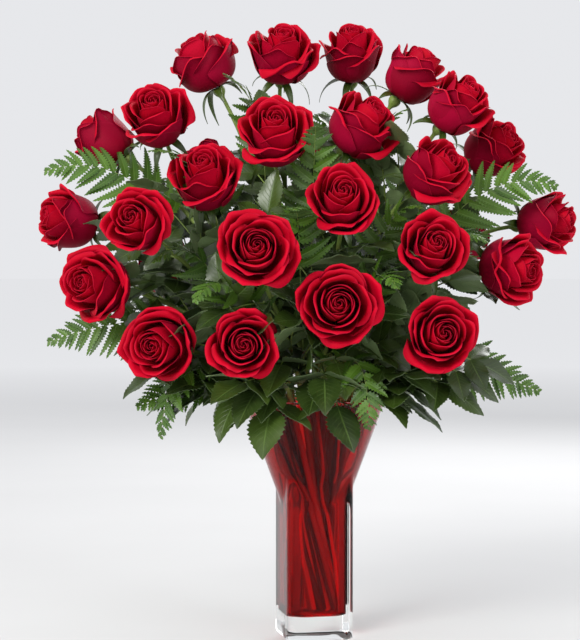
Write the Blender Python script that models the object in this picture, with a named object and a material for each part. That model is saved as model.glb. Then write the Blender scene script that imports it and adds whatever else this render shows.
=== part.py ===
"""A dome of long-stemmed red roses and leatherleaf fern in a cased ruby glass vase.

The vase is a square glass prism with chamfered corners that opens into a cone.  The roses
stand in it by their cut stems, each head placed on a dome round the point DOME_CENTRE.
Origin: centre of the vase's flat foot.  +Z up, the bouquet's front is -Y.  Metres.
"""

import math
from collections import namedtuple

import bmesh
import bpy
import numpy as np
from mathutils import Vector
from mathutils.bvhtree import BVHTree

GAP = 0.0003                      # clearance between pieces that touch

# Vase
VASE_HEIGHT = 0.238
VASE_TURN = math.radians(12.5)    # the front facet faces a little to the right
FOOT_HALF = 0.0335                # prism, centre to flat
FOOT_CHAMFER = 0.0050             # taken off each end of a main facet
FOOT_THICK = 0.0245               # solid glass under the cavity
PRISM_WALL = 0.0075               # glass between the prism's flat and the cavity's
WELL_CHAMFER = 0.0080
FLARE_START = 0.134               # height where the cone leaves the prism
FLARE_SLOPE = 0.372               # radius gained per metre of height
FLARE_WALL = 0.0042               # glass thickness in the cone, measured level
FLARE_SIDES = 40
WELL_HALF = FOOT_HALF - PRISM_WALL
WELL_FACET_HALF = WELL_HALF - WELL_CHAMFER
PRISM_INTO_CONE = 0.0020          # the prism's top above where the cone swallows its corners
CONE_INTO_PRISM = 0.0120          # the cone's start below where it leaves the prism's flats
CUT_ABOVE_RIM = 0.0040            # the cavity's form runs past the rim so the cut is clean

# Rose heads
HEAD_HEIGHT = 0.058
HEAD_RADIUS_TIGHT = 0.0290
HEAD_RADIUS_OPEN = 0.0410
HEAD_SEAT = 0.0050                # radius of the flat where petals meet the hip
HEAD_SIDES = 12
HEAD_NEST = 1.02                  # least distance of two heads, share of their radii' sum
NEST_ROUNDS = 60
REAR_HEAD_SINK = GAP * 5          # a rear head overlaps its stem by this, to be joined to it

# Stems
STEM_RADIUS = 0.0026
HIP_RADIUS = 0.0062
HIP_LENGTH = 0.013
STEM_SIDES = 6
STEM_FOOT_GAP = 0.0012            # cut end above the cavity floor
STEM_SPACING = 0.0011             # least air between two stems inside the vase
STEM_ROOM = 0.00005               # least air between two stems above it
MOUTH_STRAIGHT = 0.35             # how far the mouth holds a stem in line, share of the arc
NECK_STRAIGHT = 0.34              # how far a head does
ARC_STATIONS = 7
SWAYS = [(0.0, 0.0)] + [          # ways a stem may bow aside to clear its neighbours
    (side * size, up * size)
    for size in (0.06, 0.12, 0.18, 0.26)
    for side, up in ((1, 0), (-1, 0), (0, 1), (0.7, 0.7), (-0.7, 0.7), (0, -1))
]
SPIRAL = math.radians(62)         # turn between a stem's foot and the far side of its lean
LEAN_PIVOT = 0.080                # leans are measured from this far below the rim

# Rose leaves and fern fronds
LEAF_LENGTH = 0.105
LEAF_HALF_WIDTH = 0.024
LEAF_THICK = 0.0010
LEAF_OUTLINE = [0.05, 0.05, 0.06, 0.55, 0.95, 1.0, 0.82, 0.48, 0.02]   # share of half width
RIM_PREFERENCE = 400              # degrees of bearing that a metre closer to the rim is worth
LEAF_JOINT = VASE_HEIGHT + 0.024  # height where a leaf leaves its stem
LEAF_CLEAR_OF_RIM = 0.012
LEAF_ARCH = 0.32                  # rise over the rim, share of the leaf's length
LEAF_HANG = 0.40                  # its hanging part, share of the leaf's length
LEAF_HANG_ANGLE = 50              # degrees below level
FROND_BLADE = 0.140
FROND_HALF_WIDTH = 0.030
FROND_STATIONS = 22               # points along a frond above the mouth
FROND_STRAIGHT = 0.45             # how far the mouth holds a frond in line, share of its arc
FROND_DROOP = 0.30                # how far its last part turns outward, share of its arc
FROND_TAPER = 1.25                # how fast a frond widens from its tip
FROND_NOTCH = 0.35                # width between two lobes, share of a lobe's
FROND_LOWEST_LOBES = 6            # how fast the blade widens from the bare stipe
FROND_FACE = Vector((0.0, -0.85, 0.53))   # the way a frond shows its upper side
FROND_THICK = 0.0012
STIPE_RADIUS = 0.0014
STIPE_ROOM = 1.1                  # a stipe's room inside the vase, share of its radius
FROND_BOWS = (0.12, 0.20, 0.28, 0.04, -0.04)   # heights of the bow to try, best first
LEAF_BOWS = (0.6, 0.8, 0.4)

DOME_CENTRE = Vector((0.0, 0.0, 0.360))

# A rose: where its head is, seen from DOME_CENTRE (bearing from the front, + to the right;
# rise above level; reach in metres), where the head faces, and how far it has opened.
Rose = namedtuple("Rose", "name bearing rise reach face_bearing face_rise opened")
FRONT_ROSES = [
    Rose("01", -112, 61, 0.250, -70, 60, 0.85),
    Rose("02", -126, 80, 0.228, 5, 52, 0.80),
    Rose("03", 145, 73, 0.240, 0, 60, 0.45),
    Rose("04", 101, 63, 0.228, 75, 52, 0.45),
    Rose("05", 74, 49, 0.222, 45, 42, 0.40),
    Rose("06", -79, 45, 0.222, -12, 36, 0.60),
    Rose("07", -97, 33, 0.254, -105, 38, 0.15),
    Rose("08", -27, 59, 0.161, 0, 34, 0.95),
    Rose("09", 46, 66, 0.160, 50, 42, 0.90),
    Rose("10", 99, 35, 0.226, 50, 28, 0.45),
    Rose("11", -57, 37, 0.158, -8, 42, 0.75),
    Rose("12", 57, 36, 0.171, 42, 30, 0.70),
    Rose("13", 12, 30, 0.142, 0, 24, 0.55),
    Rose("14", -88, 13, 0.252, -62, 10, 0.40),
    Rose("15", -56, 14, 0.206, -16, 16, 0.45),
    Rose("16", 43, 9, 0.163, 6, 18, 0.50),
    Rose("17", 91, 13, 0.240, 60, 6, 0.30),
    Rose("18", 72, 2, 0.200, 48, -4, 0.68),
    Rose("19", -20, 9, 0.162, 2, 10, 0.90),
    Rose("20", -75, -2, 0.220, -32, 6, 0.90),
    Rose("21", 8, -10, 0.149, 0, 5, 1.00),
    Rose("22", 44, -18, 0.177, 6, 8, 0.70),
    Rose("23", -57, -20, 0.187, -18, -4, 0.88),
    Rose("24", -28, -24, 0.157, 2, 4, 0.45),
]
# The back of the dome.  Head and stem of each are one piece, to keep within 60 nodes.
REAR_ROSES = [
    Rose("1", 176, 42, 0.190, 176, 46, 0.60),
    Rose("2", -138, 34, 0.200, -142, 38, 0.50),
    Rose("3", 126, 10, 0.195, 130, 16, 0.60),
    Rose("4", 174, 2, 0.165, 176, 12, 0.80),
    Rose("5", -128, 2, 0.195, -130, 14, 0.60),
    Rose("6", 152, -26, 0.165, 150, 0, 0.65),
]
# A fern frond: where its tip is, in the same terms.
Frond = namedtuple("Frond", "name bearing rise reach")
FRONDS = [
    Frond("upper_left", -85, 18, 0.286),
    Frond("left", -88, -14, 0.274),
    Frond("low_left", -72, -35, 0.222),
    Frond("upper_right", 83, 20, 0.256),
    Frond("low_right", 84, -27, 0.252),
]
# Bearings of the rose leaves that hang over the rim, one on the stem nearest each.
COLLAR_LEAVES = [-24, 14, 48, 78, 112, 146, 180, -146, -112, -90]


# ---------------------------------------------------------------- directions and frames

def heading(bearing, rise):
    """Unit vector for a bearing from the front and a rise above level, in degrees."""
    b, r = math.radians(bearing), math.radians(rise)
    return Vector((math.sin(b) * math.cos(r), -math.cos(b) * math.cos(r), math.sin(r)))


def head_radius(rose):
    return HEAD_RADIUS_TIGHT + (HEAD_RADIUS_OPEN - HEAD_RADIUS_TIGHT) * rose.opened


def head_centres(roses):
    """Centre of each rose's head, by its name, moved apart only where two would clash."""
    centres = [DOME_CENTRE + heading(r.bearing, r.rise) * r.reach for r in roses]
    for _ in range(NEST_ROUNDS):
        for i, a in enumerate(roses):
            for j in range(i):
                least = (head_radius(a) + head_radius(roses[j])) * HEAD_NEST
                apart = centres[i] - centres[j]
                if apart.length < least:
                    push = apart.normalized() * (least - apart.length) / 2
                    centres[i], centres[j] = centres[i] + push, centres[j] - push
    return dict(zip(roses, centres))


def axes_across(axis):
    """Two unit vectors square to axis, the first level where it can be."""
    up = Vector((0, 0, 1)) if abs(axis.z) < 0.95 else Vector((0, -1, 0))
    side = axis.cross(up).normalized()
    return side, side.cross(axis).normalized()


def cone_radius(z, inset=0.0):
    """Radius of the flare at height z, the wall surface moved in by inset."""
    return FOOT_HALF + (z - FLARE_START) * FLARE_SLOPE - inset


# ---------------------------------------------------------------- meshes

def new_object(name, vertices, faces, material=None):
    mesh = bpy.data.meshes.new(name)
    mesh.from_pydata([tuple(v) for v in vertices], [], faces)
    mesh.validate()
    bm = bmesh.new()
    bm.from_mesh(mesh)
    bmesh.ops.triangulate(bm, faces=bm.faces[:])
    bmesh.ops.recalc_face_normals(bm, faces=bm.faces)
    bm.to_mesh(mesh)
    bm.free()
    mesh.shade_smooth()
    mesh.set_sharp_from_angle(angle=math.radians(40))
    obj = bpy.data.objects.new(name, mesh)
    bpy.context.scene.collection.objects.link(obj)
    if material:
        mesh.materials.append(material)
    return obj


def rings_to_faces(count, sides):
    """Faces of a tube of rings, closed at both ends."""
    faces = [tuple(range(sides))[::-1], tuple(range((count - 1) * sides, count * sides))]
    for k in range(count - 1):
        for i in range(sides):
            j = (i + 1) % sides
            faces.append((k * sides + i, k * sides + j, (k + 1) * sides + j, (k + 1) * sides + i))
    return faces


def turned(name, centre, axis, profile, sides, material):
    """A solid of revolution round axis through centre.  profile is (radius, height) upwards."""
    across, along = axes_across(axis)
    vertices = []
    for radius, height in profile:
        for i in range(sides):
            angle = 2 * math.pi * i / sides
            spoke = across * math.cos(angle) + along * math.sin(angle)
            vertices.append(centre + spoke * radius + axis * height)
    return new_object(name, vertices, rings_to_faces(len(profile), sides), material)


def path_frames(points):
    """Direction, side and face normal at each point of a path, turned as little as possible."""
    directions = []
    for k in range(len(points)):
        ahead, behind = points[min(k + 1, len(points) - 1)], points[max(k - 1, 0)]
        directions.append((ahead - behind).normalized())
    side = axes_across(directions[0])[0]
    frames = []
    for direction in directions:
        side = (side - direction * side.dot(direction)).normalized()
        frames.append((direction, side, direction.cross(side)))
    return frames


def tube(name, points, radii, sides, material):
    vertices = []
    for point, radius, (_, side, normal) in zip(points, radii, path_frames(points)):
        for i in range(sides):
            angle = 2 * math.pi * i / sides
            vertices.append(point + (side * math.cos(angle) + normal * math.sin(angle)) * radius)
    return new_object(name, vertices, rings_to_faces(len(points), sides), material)


def blade(name, points, half_widths, half_thicks, material, facing):
    """A leaf or frond: a strip along points whose upper side turns to facing."""
    vertices = []
    for point, width, thick, (direction, _, _) in zip(
        points, half_widths, half_thicks, path_frames(points)
    ):
        side = direction.cross(facing).normalized()
        face = side.cross(direction)
        vertices += [point + side * width, point + face * thick]
        vertices += [point - side * width, point - face * thick]
    return new_object(name, vertices, rings_to_faces(len(points), 4), material)


def bezier(start, start_pull, end_pull, end, count):
    """count points of the cubic from start to end, by its two pull points."""
    points = []
    for k in range(count):
        t = k / (count - 1)
        points.append(
            start * (1 - t) ** 3
            + start_pull * (3 * t * (1 - t) ** 2)
            + end_pull * (3 * t * t * (1 - t))
            + end * t ** 3
        )
    return points


# ---------------------------------------------------------------- vase

def prism_corners(half, facet_half):
    """The eight corners of the chamfered square, turned by VASE_TURN."""
    corners = []
    for quarter in range(4):
        for side in (-facet_half, facet_half):
            angle = quarter * math.pi / 2 + VASE_TURN
            corners.append(
                (
                    half * math.cos(angle) - side * math.sin(angle),
                    half * math.sin(angle) + side * math.cos(angle),
                )
            )
    return corners


def vessel_form(name, half, facet_half, cone_inset, floor, top):
    """A prism from floor up, joined to the cone that reaches top."""
    corners = prism_corners(half, facet_half)
    corner_radius = math.hypot(half, facet_half)
    # the prism ends inside the cone, where the cone is just wider than its corners
    swallowed = FLARE_START + (corner_radius + cone_inset - FOOT_HALF) / FLARE_SLOPE
    prism_top = swallowed + PRISM_INTO_CONE
    heights = (floor, prism_top)
    prism = new_object(
        name, [(x, y, z) for z in heights for x, y in corners], rings_to_faces(2, 8)
    )
    leaves_flats = FLARE_START + (cone_inset + half - FOOT_HALF) / FLARE_SLOPE
    cone_low = leaves_flats - CONE_INTO_PRISM
    profile = [
        (cone_radius(cone_low, cone_inset), cone_low),
        (cone_radius(top, cone_inset), top),
    ]
    cone = turned(
        name + "_cone", Vector(), Vector((0, 0, 1)), profile, FLARE_SIDES, None
    )
    apply_boolean(prism, cone, "UNION")
    return prism


def apply_boolean(target, other, operation):
    """Cuts or joins other into target and removes other."""
    modifier = target.modifiers.new("join", "BOOLEAN")
    modifier.operation = operation
    modifier.solver = "EXACT"
    modifier.object = other
    graph = bpy.context.evaluated_depsgraph_get()
    mesh = bpy.data.meshes.new_from_object(target.evaluated_get(graph))
    target.modifiers.clear()
    target.data = mesh
    bpy.data.objects.remove(other)


def make_vase(glass):
    """Outer form less its cavity, in one piece of cased glass."""
    vase = vessel_form("vase", FOOT_HALF, FOOT_HALF - FOOT_CHAMFER, 0.0, 0.0, VASE_HEIGHT)
    past_rim = VASE_HEIGHT + CUT_ABOVE_RIM
    cavity = vessel_form("cavity", WELL_HALF, WELL_FACET_HALF, FLARE_WALL, FOOT_THICK, past_rim)
    apply_boolean(vase, cavity, "DIFFERENCE")
    vase.data.materials.clear()
    vase.data.materials.append(glass)
    return vase


# ---------------------------------------------------------------- how the stems stand

SLICE_LOW = FOOT_THICK + STEM_FOOT_GAP + STEM_RADIUS
SLICE_HIGH = VASE_HEIGHT + 0.010
SLICES = 19
SLICE_STEP = (SLICE_HIGH - SLICE_LOW) / (SLICES - 1)
KEEP_EVERY = 3                    # a stem's centreline keeps every third slice
NECK_LOW = FLARE_START + (WELL_HALF + FLARE_WALL - FOOT_HALF) / FLARE_SLOPE
NECK_HIGH = NECK_LOW + KEEP_EVERY * SLICE_STEP
SETTLE_ROUNDS = 700
SMOOTHED_ROUNDS = 560             # rounds that also straighten the stems
SMOOTHING = 0.30                  # pull of a point towards the middle of its neighbours
PUSH_SHARE = 0.8                  # share of a clash that one round clears
WALL_CLEAR = GAP * 2


def clamp_to_cavity(spots, z, radius):
    """Moves level spots (n by 2) inside the cavity wall at height z, clear by radius."""
    limit = WELL_HALF - radius
    if NECK_LOW <= z < NECK_HIGH:
        # one kept slice falls here, so no straight run cuts the corner where the flare starts
        reaches, round_limit = [], limit
    elif z >= NECK_HIGH:
        reaches, round_limit = [], cone_radius(min(z, VASE_HEIGHT), FLARE_WALL) - radius
    else:
        corner = (WELL_HALF + WELL_FACET_HALF) / math.sqrt(2) - radius
        reaches, round_limit = [(0.0, limit), (0.5, corner)], None
    for eighth, reach in reaches:
        for k in range(4):
            angle = (k + eighth) * math.pi / 2 + VASE_TURN
            normal = np.array([math.cos(angle), math.sin(angle)])
            spots -= np.maximum(spots @ normal - reach, 0)[:, None] * normal
    if round_limit:
        size = np.maximum(np.linalg.norm(spots, axis=1), 1e-9)
        spots *= np.minimum(1, round_limit / size)[:, None]


def settle(bearings, leans, radii):
    """Level positions of every stem at each slice height, spread so that none touch.

    Each starts as a straight line from a foot on the far side of its lean to a place in
    the mouth below its head, and is then nudged off its neighbours and the wall."""
    count = len(bearings)
    heights = np.linspace(SLICE_LOW, SLICE_HIGH, SLICES)
    order = np.argsort(np.argsort(leans)) + 0.5
    share = np.sqrt(order / count)
    angle = np.radians(bearings)
    towards = np.stack([np.sin(angle), -np.cos(angle)], axis=1)
    foot_angle = angle + math.pi - SPIRAL
    foot = np.stack([np.sin(foot_angle), -np.cos(foot_angle)], axis=1)
    foot *= (share * (WELL_HALF - STEM_RADIUS) * 0.95)[:, None]
    mouth = towards * (share * (cone_radius(VASE_HEIGHT, FLARE_WALL) - 3 * STEM_RADIUS))[:, None]
    t = ((heights - heights[0]) / (heights[-1] - heights[0]))[:, None, None]
    spots = foot[None] * (1 - t) + mouth[None] * t
    least = (radii[:, None] + radii[None, :] + STEM_SPACING)[None]
    own = np.eye(count, dtype=bool)[None]
    for step in range(SETTLE_ROUNDS):
        if step < SMOOTHED_ROUNDS:
            middles = (spots[:-2] + spots[2:]) / 2
            spots[1:-1] = (1 - SMOOTHING) * spots[1:-1] + SMOOTHING * middles
        apart = spots[:, :, None, :] - spots[:, None, :, :]
        distance = np.linalg.norm(apart, axis=3)
        distance[np.broadcast_to(own, distance.shape)] = 1.0
        push = np.maximum(least - distance, 0) * 0.5 / np.maximum(distance, 1e-6)
        spots += (apart * push[..., None]).sum(axis=2) * PUSH_SHARE
        for k, z in enumerate(heights):
            for radius in sorted(set(radii)):
                chosen = radii == radius
                level = spots[k, chosen]
                clamp_to_cavity(level, z, radius + WALL_CLEAR)
                spots[k, chosen] = level
    return [
        [Vector((spots[k, i, 0], spots[k, i, 1], z)) for k, z in enumerate(heights)]
        for i in range(count)
    ]


def lean_of(point):
    """How far a head or tip leans out of the mouth, as an angle."""
    return math.atan2(math.hypot(point.x, point.y), point.z - VASE_HEIGHT + LEAN_PIVOT)


def rose_route(inside, rose, centre, sway):
    """The stem's centreline from its cut foot to the hip under the head.

    sway is how far the middle of the free run is moved sideways and up, as shares of it."""
    axis = heading(rose.face_bearing, rose.face_rise)
    hip = centre - axis * (HEAD_HEIGHT / 2 + GAP)
    neck = hip - axis * HIP_LENGTH
    start, before = inside[-1], inside[-4]
    length = (neck - start).length
    side = (neck - start).cross(Vector((0, 0, 1))).normalized()
    aside = (side * sway[0] + Vector((0, 0, sway[1]))) * length
    pull = start + (start - before).normalized() * length * MOUTH_STRAIGHT + aside
    arc = bezier(start, pull, neck - axis * length * NECK_STRAIGHT, neck, ARC_STATIONS)
    return inside[:-1:KEEP_EVERY] + arc, axis, hip


def rose_tube(points, axis, hip):
    """Points and radii of the stem with the hip that carries the petals."""
    swell = hip - axis * (HIP_LENGTH * 0.45)
    radii = [STEM_RADIUS] * len(points) + [HIP_RADIUS, HEAD_SEAT]
    return points + [swell, hip], radii


def bloom_name(rose):
    return ("rose_bloom_" if rose in FRONT_ROSES else "rear_head_") + rose.name


def stem_name(rose):
    return ("rose_stem_" if rose in FRONT_ROSES else "rear_rose_") + rose.name


def head_profile(rose):
    """The outer form of a rose head, from its seat to the folded heart."""
    r, h = head_radius(rose), HEAD_HEIGHT
    rim = 0.90 + 0.12 * rose.opened
    outline = [
        (HEAD_SEAT, 0.0), (r * 0.56, 0.09 * h), (r * 0.84, 0.27 * h), (r * 0.90, 0.50 * h),
        (r * rim, 0.80 * h), (r * rim * 0.94, 0.92 * h), (r * 0.42, 1.0 * h), (r * 0.12, 0.97 * h),
    ]
    return [(radius, height - h / 2) for radius, height in outline]


# ---------------------------------------------------------------- leaves and fronds

def leaf_joint(stem_points):
    """The point of a stem's centreline where its leaf may grow."""
    return min(stem_points, key=lambda point: abs(point.z - LEAF_JOINT))


def leaf_path(stem_points, bearing, droop, bow):
    """From a stem just above the rim, out over it and down outside the vase."""
    start = leaf_joint(stem_points)
    out = heading(bearing, 0)
    rim = cone_radius(VASE_HEIGHT)
    over = out * (rim + LEAF_CLEAR_OF_RIM)
    over.z = VASE_HEIGHT + LEAF_LENGTH * LEAF_ARCH
    angle = math.radians(LEAF_HANG_ANGLE + droop)
    tip = out * (rim + LEAF_LENGTH * LEAF_HANG * math.cos(angle))
    tip.z = VASE_HEIGHT - LEAF_LENGTH * LEAF_HANG * math.sin(angle)
    return bezier(start, start.lerp(over, bow), over, tip, len(LEAF_OUTLINE))


def leaf_sizes():
    widths = [share * LEAF_HALF_WIDTH for share in LEAF_OUTLINE]
    thicks = [max(LEAF_THICK / 2, min(width, LEAF_THICK)) for width in widths]
    return widths, thicks


def frond_path(inside, tip, bow):
    """Up out of the vase and over to the tip in one bow, its height a share of the length."""
    start, before = inside[-1], inside[-4]
    length = (tip - start).length
    pull = start + (start - before).normalized() * length * FROND_STRAIGHT
    inward = Vector((-tip.x, -tip.y, 0)).normalized()
    over = tip + (inward * FROND_DROOP + Vector((0, 0, bow))) * length
    return inside[:-1:KEEP_EVERY] + bezier(start, pull, over, tip, FROND_STATIONS)


def frond_sizes(points):
    """Half widths and thicknesses: a bare stipe, then toothed lobes narrowing to the tip."""
    travelled = [0.0]
    for a, b in zip(points, points[1:]):
        travelled.append(travelled[-1] + (b - a).length)
    widths, thicks = [], []
    for k, s in enumerate(travelled):
        from_tip = (travelled[-1] - s) / FROND_BLADE
        if from_tip > 1:
            widths.append(STIPE_RADIUS)
            thicks.append(STIPE_RADIUS)
        else:
            notch = 1.0 if k % 2 else FROND_NOTCH
            taper = math.sin(min(1.0, from_tip * FROND_TAPER) * math.pi / 2)
            start = min(1.0, (1 - from_tip) * FROND_LOWEST_LOBES)
            widths.append(max(STIPE_RADIUS / 2, FROND_HALF_WIDTH * taper * notch * start))
            thicks.append(FROND_THICK / 2)
    return widths, thicks


def tree_of(obj, grown=0.0):
    """The object's surface for clash tests, moved out by grown."""
    mesh = obj.data
    return BVHTree.FromPolygons(
        [v.co + v.normal * grown for v in mesh.vertices], [p.vertices[:] for p in mesh.polygons]
    )


def first_clear(candidates, build, placed, but=(), room=GAP * 0.9):
    """Builds each candidate in turn and keeps the first with room between it and the rest."""
    for candidate in candidates:
        obj = build(candidate)
        tree = tree_of(obj, room)
        if not any(tree.overlap(other) for name, other in placed.items() if name not in but):
            return obj
        bpy.data.objects.remove(obj)
    raise RuntimeError("no clear place was found")


# ---------------------------------------------------------------- the whole arrangement

def material(name, colour, roughness, alpha=1.0):
    made = bpy.data.materials.new(name)
    made.use_nodes = True
    shader = made.node_tree.nodes["Principled BSDF"]
    shader.inputs["Base Color"].default_value = (*colour, 1)
    shader.inputs["Roughness"].default_value = roughness
    shader.inputs["Metallic"].default_value = 0.0
    shader.inputs["Transmission Weight"].default_value = 1.0 - alpha
    return made


def tries(bows):
    """Shifts in degrees, near ones first, that a leaf or frond may make to find room."""
    steps = range(-60, 61, 3)
    shifts = [(a, b, bow) for a in steps for b in steps for bow in bows]
    return sorted(shifts, key=lambda s: (abs(s[0]) + abs(s[1]) + 60 * abs(s[2] - bows[0]), s))


def inside_routes(centres, tips):
    """What settle finds for every stem and then every frond."""
    ends = centres + tips
    bearings = np.array([math.degrees(math.atan2(p.x, -p.y)) for p in ends])
    leans = np.array([lean_of(p) for p in ends])
    stipe = STIPE_RADIUS * STIPE_ROOM
    return settle(bearings, leans, np.array([STEM_RADIUS] * len(centres) + [stipe] * len(tips)))


def make_head(rose, centre, red):
    axis = heading(rose.face_bearing, rose.face_rise)
    sunk = 0.0 if rose in FRONT_ROSES else REAR_HEAD_SINK
    seat = centre - axis * sunk
    return turned(bloom_name(rose), seat, axis, head_profile(rose), HEAD_SIDES, red)


def make_stem(rose, inside, centre, routes, placed, colour):
    """The rose's stem, bowed as little as it can be; its centreline goes into routes."""
    name = stem_name(rose)

    def build(sway):
        routes[name], radii = rose_tube(*rose_route(inside, rose, centre, sway))
        return tube(name, routes[name], radii, STEM_SIDES, colour)

    own_head = () if rose in FRONT_ROSES else (bloom_name(rose),)
    return first_clear(SWAYS, build, placed, own_head, STEM_ROOM)


def make_frond(frond, inside, placed, colour):
    def build(shift):
        bearing, rise = frond.bearing + shift[0], frond.rise + shift[1]
        aim = DOME_CENTRE + heading(bearing, rise) * frond.reach
        points = frond_path(inside, aim, shift[2])
        name = "fern_frond_" + frond.name
        return blade(name, points, *frond_sizes(points), colour, FROND_FACE)

    return first_clear(tries(FROND_BOWS), build, placed)


def nearest_stem(routes, bearing):
    """The stem that leaves the mouth nearest to this bearing and close to the rim."""

    def off(name):
        point = leaf_joint(routes[name])
        turn = math.degrees(math.atan2(point.x, -point.y)) - bearing
        return abs((turn + 180) % 360 - 180) - RIM_PREFERENCE * math.hypot(point.x, point.y)

    return min(routes, key=off)


def make_leaf(route, stem, bearing, placed, colour):
    """A leaf that grows from the stem and hangs over the rim, clear of everything else."""

    def build(shift):
        points = leaf_path(route, bearing + shift[0], shift[1], shift[2])
        facing = heading(bearing + shift[0], 0) + Vector((0, 0, 1))
        return blade("leaf", points, *leaf_sizes(), colour, facing)

    return first_clear(tries(LEAF_BOWS), build, placed, but=(stem,))


def main():
    for obj in list(bpy.data.objects):
        bpy.data.objects.remove(obj)
    red = material("rose_petal", (0.42, 0.005, 0.02), 0.6)
    green = material("stem_and_leaf", (0.06, 0.13, 0.03), 0.45)
    fern_green = material("fern", (0.05, 0.17, 0.02), 0.4)
    glass = material("ruby_glass", (0.45, 0.01, 0.02), 0.05, alpha=0.3)

    roses = FRONT_ROSES + REAR_ROSES
    centres = head_centres(roses)
    tips = [DOME_CENTRE + heading(f.bearing, f.rise) * f.reach for f in FRONDS]
    insides = inside_routes(list(centres.values()), tips)

    placed = {"vase": tree_of(make_vase(glass))}
    heads, stems, routes = {}, {}, {}
    for rose in roses:
        heads[rose] = make_head(rose, centres[rose], red)
        placed[bloom_name(rose)] = tree_of(heads[rose])
    for rose, inside in zip(roses, insides):
        name = stem_name(rose)
        colour = green if rose in FRONT_ROSES else red
        stems[name] = make_stem(rose, inside, centres[rose], routes, placed, colour)
        placed[name] = tree_of(stems[name])
        if rose not in FRONT_ROSES:
            apply_boolean(stems[name], heads[rose], "UNION")
    for frond, inside in zip(FRONDS, insides[len(roses):]):
        made = make_frond(frond, inside, placed, fern_green)
        placed[made.name] = tree_of(made)
    bare = dict(routes)
    for bearing in COLLAR_LEAVES:
        name = nearest_stem(bare, bearing)
        leaf = make_leaf(bare.pop(name), name, bearing, placed, green)
        placed["leaf_on_" + name] = tree_of(leaf)
        apply_boolean(stems[name], leaf, "UNION")


main()
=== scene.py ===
"""Looks for the dome of red roses in a cased ruby glass vase, built round its CAD frame.

Petals, sepals, leaves and fern pinnae are curved sheets made in mesh code, each with its
own attributes for the materials.  The stems follow the same routes as the CAD ones.
"""

import math
from collections import namedtuple

import bpy
import numpy as np
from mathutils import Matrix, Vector


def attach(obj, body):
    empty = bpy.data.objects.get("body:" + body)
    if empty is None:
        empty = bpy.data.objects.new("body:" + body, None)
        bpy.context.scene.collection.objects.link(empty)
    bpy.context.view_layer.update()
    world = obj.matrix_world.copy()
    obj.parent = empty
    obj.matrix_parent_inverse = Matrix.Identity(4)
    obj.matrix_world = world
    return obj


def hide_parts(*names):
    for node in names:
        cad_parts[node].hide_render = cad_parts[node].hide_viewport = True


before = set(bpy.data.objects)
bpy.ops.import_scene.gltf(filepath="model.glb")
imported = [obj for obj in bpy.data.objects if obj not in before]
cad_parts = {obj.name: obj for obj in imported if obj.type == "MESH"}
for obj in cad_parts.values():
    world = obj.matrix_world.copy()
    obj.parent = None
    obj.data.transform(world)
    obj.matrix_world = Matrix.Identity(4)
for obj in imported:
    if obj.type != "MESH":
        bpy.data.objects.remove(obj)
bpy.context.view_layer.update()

# ---- sizes shared with the CAD

VASE_HEIGHT = 0.238
VASE_TURN = math.radians(12.5)
FOOT_HALF, FOOT_CHAMFER, FOOT_THICK = 0.0335, 0.0050, 0.0245
PRISM_WALL, WELL_CHAMFER = 0.0075, 0.0080
WELL_HALF = FOOT_HALF - PRISM_WALL
WELL_FACET_HALF = WELL_HALF - WELL_CHAMFER
FLARE_START, FLARE_SLOPE, FLARE_WALL = 0.134, 0.372, 0.0042

HEAD_HEIGHT = 0.058
HEAD_RADIUS_TIGHT, HEAD_RADIUS_OPEN = 0.0290, 0.0410
STEM_RADIUS, STIPE_RADIUS = 0.0026, 0.0014
STEM_CUT_RADIUS = 0.0030          # low in the vase, where a stem is thickest
HIP_LENGTH = 0.013
STEM_FOOT_GAP, STEM_SPACING, GAP = 0.0012, 0.0011, 0.0003
NECK_STRAIGHT = 0.34
SPIRAL = math.radians(62)
DOME_CENTRE = Vector((0.0, 0.0, 0.360))

# A head's middle as bearing from the front, rise and reach from DOME_CENTRE, then its facing.
Rose = namedtuple("Rose", "name bearing rise reach face_bearing face_rise opened")
FRONT_ROSES = [
    Rose("01", -112, 61, 0.250, -70, 60, 0.85),
    Rose("02", -126, 80, 0.228, 5, 52, 0.80),
    Rose("03", 145, 73, 0.240, 0, 60, 0.45),
    Rose("04", 101, 63, 0.228, 75, 52, 0.45),
    Rose("05", 74, 49, 0.222, 45, 42, 0.40),
    Rose("06", -79, 45, 0.222, -12, 36, 0.60),
    Rose("07", -97, 33, 0.254, -105, 38, 0.15),
    Rose("08", -27, 59, 0.161, 0, 34, 0.95),
    Rose("09", 46, 66, 0.160, 50, 42, 0.90),
    Rose("10", 99, 35, 0.226, 50, 28, 0.45),
    Rose("11", -57, 37, 0.158, -8, 42, 0.75),
    Rose("12", 57, 36, 0.171, 42, 30, 0.70),
    Rose("13", 12, 30, 0.142, 0, 24, 0.55),
    Rose("14", -88, 13, 0.252, -62, 10, 0.40),
    Rose("15", -56, 14, 0.206, -16, 16, 0.45),
    Rose("16", 43, 9, 0.163, 6, 18, 0.50),
    Rose("17", 91, 13, 0.240, 60, 6, 0.30),
    Rose("18", 72, 2, 0.200, 48, -4, 0.68),
    Rose("19", -20, 9, 0.162, 2, 10, 0.90),
    Rose("20", -75, -2, 0.220, -32, 6, 0.90),
    Rose("21", 8, -10, 0.149, 0, 5, 1.00),
    Rose("22", 44, -18, 0.177, 6, 8, 0.70),
    Rose("23", -57, -20, 0.187, -18, -4, 0.88),
    Rose("24", -28, -24, 0.157, 2, 4, 0.45),
]
REAR_ROSES = [
    Rose("1", 176, 42, 0.190, 176, 46, 0.60),
    Rose("2", -138, 34, 0.200, -142, 38, 0.50),
    Rose("3", 126, 10, 0.195, 130, 16, 0.60),
    Rose("4", 174, 2, 0.165, 176, 12, 0.80),
    Rose("5", -128, 2, 0.195, -130, 14, 0.60),
    Rose("6", 152, -26, 0.165, 150, 0, 0.65),
]
Frond = namedtuple("Frond", "name bearing rise reach")
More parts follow.
